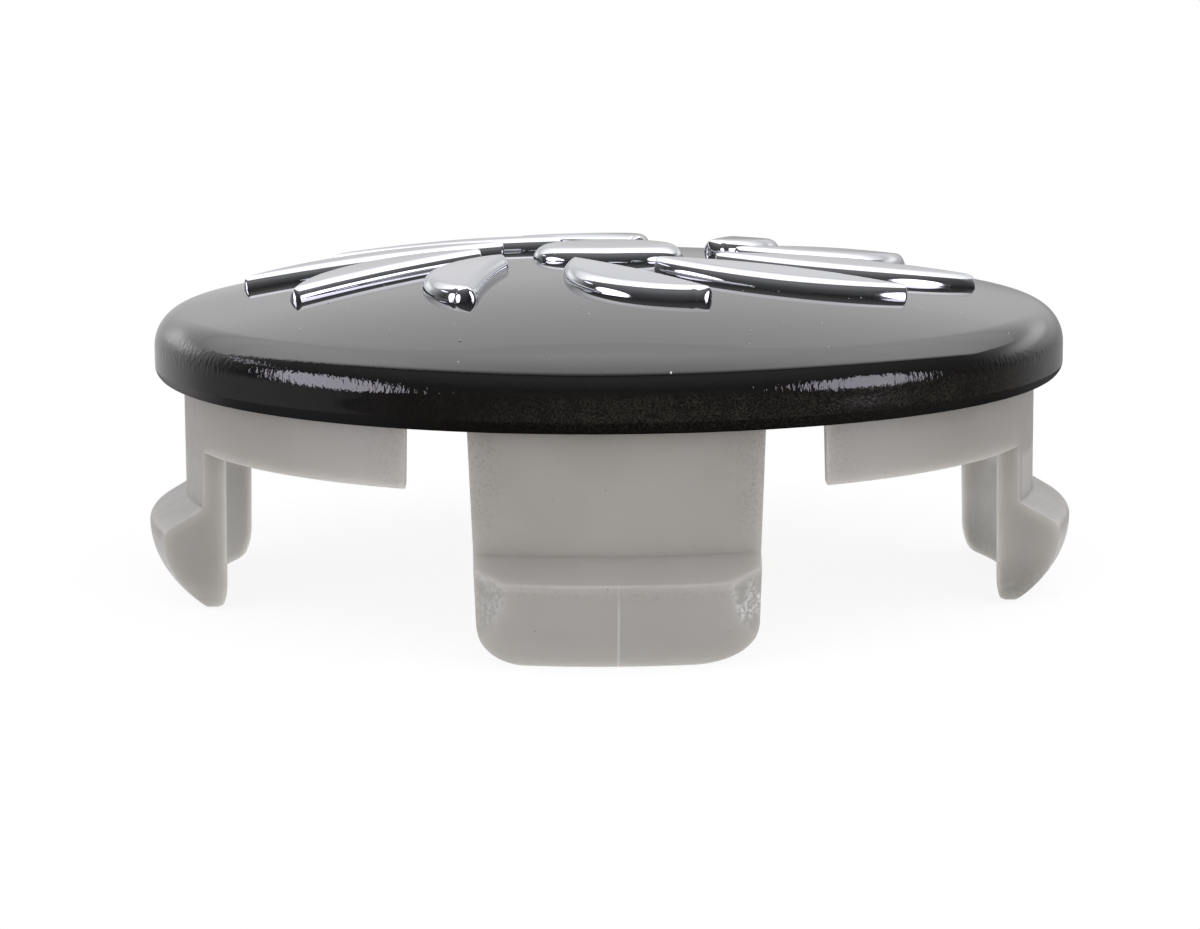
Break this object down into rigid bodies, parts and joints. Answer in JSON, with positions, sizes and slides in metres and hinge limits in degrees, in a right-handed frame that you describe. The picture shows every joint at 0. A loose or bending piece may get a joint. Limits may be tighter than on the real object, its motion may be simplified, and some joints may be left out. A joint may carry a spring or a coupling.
{
  "type": "wheel centre cap",
  "caption": "Snap-in wheel centre cap: a domed gloss black face with a raised bright vane motif, on a locating skirt with barbed spring legs that clip into the wheel's centre bore",
  "frame": {"origin": "on the cap's axis, level with the leg tips it stands on", "axes": "+Z along the cap's axis out through the face, -Y to the front leg, X to the side legs"},
  "size_m": [0.0652, 0.0652, 0.0242],
  "materials": {
    "cap_plastic": "gloss black paint on the face and rim, bright plated vanes, bare warm grey plastic on the skirt and legs"
  },
  "bodies": {
    "root": {"centre_cap": "cap_plastic"}
  },
  "joints": []
}
